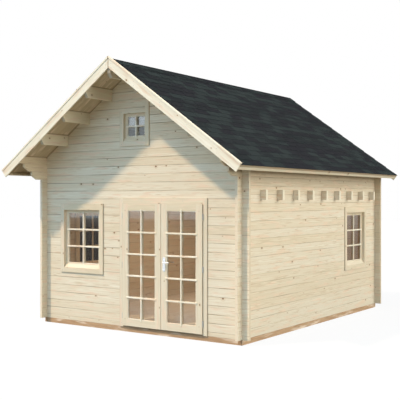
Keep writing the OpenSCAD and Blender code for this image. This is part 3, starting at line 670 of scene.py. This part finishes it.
for side, word in ((1, "right"), (-1, "left")):
    turn = (0.0, roof["pitch"], 0.0 if side > 0 else math.pi)
    low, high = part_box(word + "_roof_boards")
    count = round((high.y - low.y) / roof["boardW"])
    pitch = (high.y - low.y) / count
    eave = slopeLength(low, high, side, roof["boardT"])
    profile = boardProfile(pitch - roof["joint"], roof["boardT"], roof["bevel"])
    first = (low.y if side > 0 else -high.y) + pitch / 2
    settings = {"Count": count, "Step": (0.0, pitch, 0.0), "Place": (0.0, side * first, ridgeZ), "Turn": turn,
                "Seed": roof["seed"] + side, "Material": roofWood}
    board = solidMesh("roofBoard", [prism(profile, 0.0, eave)])
    piece = grow(word + "RoofBoards", rows, board, settings, "house")
    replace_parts(piece, word + "_roof_boards")
    low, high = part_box(word + "_shingles")
    edge = slopeLength(low, high, side, roof["boardT"] + roof["shingleT"])
    run = high.y - low.y
    settings = {"Rows": tabs["rows"], "Tabs": math.ceil(run / tabs["width"]), "Exposure": tabs["exposure"],
                "Tab Width": tabs["width"], "Least": tabs["least"], "Eave": edge, "Run": run,
                "Place": (0.0, low.y if side > 0 else high.y, ridgeZ), "Turn": turn,
                "Seed": tabs["seed"] + side, "Material": shingleFace}
    piece = grow(word + "Shingles", courses, tabMesh(), settings, "house")
    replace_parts(piece, word + "_shingles")
    under, inset = roof["boardT"] + felt["clear"], felt["inset"]
    over = under + felt["thick"]
    section = [(inset, under), (run - inset, under), (run - inset, over), (inset, over)]
    sheet = solidMesh("felt", [prism(section, inset, edge - inset)])
    settings = {**settings, "Count": 1, "Step": (0.0, 0.0, 0.0)}
    grow(word + "Felt", rows, sheet, settings, "house")
low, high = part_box("ridge_capping")
count = int((high.y - low.y - ridgeCap["length"]) / ridgeCap["exposure"]) + 1
step = (high.y - low.y - ridgeCap["length"]) / (count - 1)
settings = {"Count": count, "Step": (0.0, step, 0.0), "Place": (0.0, low.y, ridgeZ),
            "Seed": ridgeCap["seed"], "Material": shingleFace}
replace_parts(grow("ridgePieces", rows, ridgeMesh(), settings, "house"), "ridge_capping")
print("roof: boards, shingles, felt and ridge pieces")

# Floor and loft: boards that run from front to back, with their bevels up
deck = {"width": 0.096, "edge": 0.0015, "joint": 0.0005}
for node, seed in (("floor_boards", 21), ("loft_boards", 22)):
    low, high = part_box(node)
    count = round((high.x - low.x) / deck["width"])
    pitch = (high.x - low.x) / count
    thick = high.z - low.z
    profile = [(y, thick - z) for y, z in boardProfile(pitch - deck["joint"], thick, deck["edge"])]
    board = solidMesh("deckBoard", [prism(profile, 0.0, high.y - low.y)])
    settings = {"Count": count, "Step": (0.0, pitch, 0.0), "Place": (high.x - pitch / 2, low.y, low.z),
                "Turn": (0.0, 0.0, quarter), "Seed": seed, "Material": floorWood}
    word = node.split("_")[0]
    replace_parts(grow(word + "Deck", rows, board, settings, "house"), node)
print("floor and loft boards")

# Glazing bars and beads: a strip on each face of a sash, a rib down to the glass, and beads round the pane
bars = {"width": 0.027, "proud": 0.009, "rib": 0.018, "lap": 0.02, "edge": 0.004, "over": 0.0008,
        "sashT": 0.04, "bead": 0.01}


def barSolids(length, over, glassT):
    half, face, top = bars["width"] / 2, bars["sashT"] / 2, bars["sashT"] / 2 + bars["proud"] + over
    edge, rib = bars["edge"], bars["rib"] / 2
    solids = []
    for side in (-1, 1):
        strip = [(face, -half), (face, half), (top - edge, half), (top, half - edge), (top, edge - half),
                 (top - edge, -half)]
        core = [(glassT / 2, -rib), (glassT / 2, rib), (face, rib), (face, -rib)]
        solids.append(prism([(side * y, z) for y, z in strip], -bars["lap"], length + bars["lap"]))
        solids.append(prism([(side * y, z) for y, z in core], 0.0, length))
    return solids


def beadSolids(length, glassT):
    size = bars["bead"]
    near, far = glassT / 2, glassT / 2 + size
    solids = []
    for side in (-1, 1):
        section = [(near, -size / 2), (near, size / 2), (far - size / 4, size / 2), (far, size / 4),
                   (far, -size / 4), (far - size / 4, -size / 2)]
        solids.append(prism([(side * y, z) for y, z in section], 0.0, length))
    return solids


def stoodUp(mesh):  # turns prisms along X to stand along Z, with their faces still along Y
    mesh.transform(Matrix.Rotation(-quarter, 4, "Y"))
    return mesh


def glaze(word, pane, columns, lines, turn, body, seed):  # bars that part a pane in columns and lines
    low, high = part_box(pane)
    sideways = turn != 0.0
    wide, tall = (high.y - low.y if sideways else high.x - low.x), high.z - low.z
    glassT = high.x - low.x if sideways else high.y - low.y
    middle = (low + high) / 2
    ahead = Vector((math.cos(turn), math.sin(turn), 0.0))
    corner = middle - ahead * (wide / 2) - Vector((0.0, 0.0, tall / 2))
    size = bars["bead"]
    jobs = [("BarsUpright", stoodUp(solidMesh("bar", barSolids(tall, 0.0, glassT))), columns - 1,
             (wide / columns, 0.0, 0.0), (wide / columns, 0.0)),
            ("BarsLevel", solidMesh("bar", barSolids(wide, bars["over"], glassT)), lines - 1,
             (0.0, 0.0, tall / lines), (0.0, tall / lines)),
            ("BeadsUpright", stoodUp(solidMesh("bead", beadSolids(tall, glassT))), 2,
             (wide - size, 0.0, 0.0), (size / 2, 0.0)),
            ("BeadsLevel", solidMesh("bead", beadSolids(wide - 2 * size, glassT)), 2,
             (0.0, 0.0, tall - size), (size, size / 2))]
    for part, mesh, count, step, (along, up) in jobs:
        settings = {"Count": count, "Step": step, "Place": corner + ahead * along + Vector((0.0, 0.0, up)),
                    "Turn": (0.0, 0.0, turn), "Seed": seed, "Material": barWood}
        grow(word + part, rows, mesh, settings, body)


glaze("frontWindow", "front_window_glass", 2, 3, 0.0, "house", 41)
glaze("rightWindow", "right_window_glass", 2, 3, quarter, "house", 42)
glaze("leftWindow", "left_window_glass", 2, 3, -quarter, "house", 43)
glaze("gableWindow", "gable_window_glass", 2, 2, 0.0, "house", 44)
glaze("leftLeaf", "left_leaf_glass", 2, 5, 0.0, "left_door", 45)
glaze("rightLeaf", "right_leaf_glass", 2, 5, 0.0, "right_door", 46)
print("glazing bars and beads")

# Screws in the casings and bargeboards, plugs in the leaves, screws and a lock cylinder on the handle plates
screws = {"radius": 0.0045, "depth": 0.0016, "sides": 12, "plug": 0.0075, "plugDeep": 0.001, "side": 0.0375,
          "rise": 0.04, "window": 4, "jamb": 6, "head": 5, "barge": (0.06, 0.499, 0.989, 1.479, 1.978),
          "drop": (0.01, 0.062)}
lock = {"drop": 0.072, "radius": 0.0085, "depth": 0.008, "hole": 0.0026, "holeDeep": 0.0088, "inset": 0.014}


def scatter(name, spots, radius, depth, mat, body):  # spots are pairs of a place and a direction
    mesh = bpy.data.meshes.new(name)
    mesh.from_pydata([tuple(spot) for spot, way in spots], [], [])
    facing = mesh.attributes.new("facing", "FLOAT_VECTOR", "POINT")
    facing.data.foreach_set("vector", [c for spot, way in spots for c in way])
    settings = {"Sides": screws["sides"], "Radius": radius, "Depth": depth, "Material": mat}
    grow(name, heads, mesh, settings, body)


def spread(first, last, count):  # evenly spaced, with both ends
    return [first + (last - first) * i / (count - 1) for i in range(count)]


toFront, toBack = (0.0, -1.0, 0.0), (0.0, 1.0, 0.0)
houseSpots = []
for wall, index, face in (("front", 0, -1), ("gable", 0, -1), ("right", 1, 1), ("left", 1, -1)):
    low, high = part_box(wall + "_window_sash")
    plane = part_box(wall + "_window_frame")[0 if face < 0 else 1][1 - index]
    for level in (low[index] - screws["side"], high[index] + screws["side"]):
        for z in spread(low.z - screws["rise"], high.z + screws["rise"] / 2, screws["window"]):
            spot = (level, plane, z) if index == 0 else (plane, level, z)
            houseSpots.append((spot, (0.0, face, 0.0) if index == 0 else (face, 0.0, 0.0)))
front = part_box("door_frame")[0].y
leafLow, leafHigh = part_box("left_leaf")[0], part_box("right_leaf")[1]
doorSides = (leafLow.x - screws["side"], leafHigh.x + screws["side"])
for z in spread(leafLow.z + screws["rise"], leafHigh.z + screws["rise"], screws["jamb"]):
    houseSpots += [((x, front, z), toFront) for x in doorSides]
headZ = leafHigh.z + screws["rise"]
houseSpots += [((x, front, headZ), toFront) for x in spread(*doorSides, screws["head"])[1:-1]]
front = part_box("front_bargeboards")[0].y
for x in screws["barge"]:
    for drop in screws["drop"]:
        z = ridgeZ - x * math.tan(roof["pitch"]) - drop / math.cos(roof["pitch"])
        houseSpots += [((side * x, front, z), toFront) for side in (-1, 1)]
scatter("screwHeads", houseSpots, screws["radius"], screws["depth"], hingeZinc, "house")
for leaf, edge, face in (("left", 0, 1), ("right", 1, -1)):
    low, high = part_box(leaf + "_leaf")
    x = (low, high)[edge].x + face * casing["leaf"] / 2
    spots = [((x, low.y, z), toFront) for z in (low.z + casing["leaf"], high.z - casing["leaf"])]
    scatter(leaf + "Plugs", spots, screws["plug"], screws["plugDeep"], plugWood, leaf + "_door")
low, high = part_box("handle_plates")
middle = (low.x + high.x) / 2
spindle = (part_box("lever_handle")[0].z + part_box("lever_handle")[1].z) / 2
faces = ((low.y, toFront), (high.y, toBack))
screwHeights = (low.z + lock["inset"], high.z - lock["inset"])
plateSpots = [((middle, y, z), way) for y, way in faces for z in screwHeights]
lockSpots = [((middle, y, spindle - lock["drop"]), way) for y, way in faces]
scatter("plateScrews", plateSpots, screws["radius"], screws["depth"], hingeZinc, "right_door")
scatter("lockCylinder", lockSpots, lock["radius"], lock["depth"], handleSilver, "right_door")
# painted shade: a dark disc on each lock cylinder for the keyhole
scatter("keyholes", lockSpots, lock["hole"], lock["holeDeep"], keyDark, "right_door")
print("screws, plugs and lock")

# Camera at the photograph's viewing angle
view = {"place": (7.991, -12.2325, 2.1198), "turn": 34.66, "tilt": -0.058, "lens": 71.01, "sensor": 36.0}
lens = bpy.data.cameras.new("camera")
lens.lens = view["lens"]
lens.sensor_width = view["sensor"]
camera = bpy.data.objects.new("camera", lens)
camera.location = view["place"]
camera.rotation_euler = (math.radians(90 + view["tilt"]), 0.0, math.radians(view["turn"]))
bpy.context.scene.collection.objects.link(camera)
bpy.context.scene.camera = camera

# Studio: key light from the front left, soft fills from the front and the right, a room lamp, a pale floor
studio = {"key": {"kind": "SUN", "way": (0.36, 0.49, -0.79), "power": 2.9, "colour": (1.0, 0.765, 0.52),
                  "angle": 3.0},
          "front": {"kind": "SUN", "way": (0.32, 0.72, -0.64), "power": 3.1, "colour": (0.57, 0.775, 0.96),
                    "angle": 110.0},
          "side": {"kind": "SUN", "way": (-0.9, -0.24, -0.3), "power": 3.35, "colour": (1.0, 0.975, 0.885),
                   "angle": 70.0},
          "room": {"kind": "AREA", "way": (0.0, 0.0, -1.0), "power": 26.5, "colour": (0.89, 0.69, 0.52),
                   "size": 2.6, "spot": (0.0, 0.2, 2.09)},
          "sunSpot": (0.0, 0.0, 8.0), "sky": tone(0.8, 0.92, 1.0), "skyPower": 0.04,
          "floor": tone(0.19, 0.2, 0.175), "floorSeen": tone(0.9, 0.9, 0.9), "floorGlow": 0.91,
          "floorReach": 60.0, "floorZ": -0.001, "white": tone(1, 1, 1)}
for word in ("key", "front", "side", "room"):
    given = studio[word]
    lamp = bpy.data.lights.new(word, given["kind"])
    lamp.energy = given["power"]
    lamp.color = given["colour"]
    if given["kind"] == "SUN":
        lamp.angle = math.radians(given["angle"])
    else:
        lamp.size = given["size"]
    holder = bpy.data.objects.new(word, lamp)
    holder.location = given.get("spot", studio["sunSpot"])
    holder.rotation_euler = Vector(given["way"]).to_track_quat("-Z", "Y").to_euler()
    holder.visible_camera = False
    holder.visible_glossy = given["kind"] == "SUN"
    bpy.context.scene.collection.objects.link(holder)


def seenDirectly(start):  # 1 for what the camera, metal and glass see
    path = start.add("ShaderNodeLightPath", out="Is Camera Ray")
    return (path + path.other("Is Glossy Ray") + path.other("Is Transmission Ray")).math("MINIMUM", 1.0)


world = bpy.data.worlds.new("studio")
world.use_nodes = True
world.node_tree.nodes.clear()
start = Wire(world.node_tree)
sky = start.add("ShaderNodeBackground", {}, {"Color": studio["sky"], "Strength": studio["skyPower"]})
white = start.add("ShaderNodeBackground", {}, {"Color": studio["white"], "Strength": 1.0})
both = start.add("ShaderNodeMixShader", {}, {0: seenDirectly(start), 1: sky, 2: white})
start.add("ShaderNodeOutputWorld", {}, {"Surface": both})
bpy.context.scene.world = world

paleFloor, start = newMaterial("paleFloor")
seen = seenDirectly(start)
matt = start.add("ShaderNodeBsdfDiffuse", {}, {"Color": seen.mix(studio["floor"], studio["floorSeen"])})
glow = start.add("ShaderNodeEmission", {}, {"Color": studio["white"], "Strength": 1.0})
finishWith(start, start.add("ShaderNodeMixShader", {}, {0: seen * studio["floorGlow"], 1: matt, 2: glow}))
reach, level = studio["floorReach"], studio["floorZ"]
ground = bpy.data.meshes.new("floor")
ground.from_pydata([(-reach, -reach, level), (reach, -reach, level), (reach, reach, level),
                    (-reach, reach, level)], [], [(0, 1, 2, 3)])
ground.materials.append(paleFloor)
floor = bpy.data.objects.new("floor", ground)
bpy.context.scene.collection.objects.link(floor)
bpy.context.scene.view_settings.view_transform = "Standard"
print("studio: camera, lamps and floor")
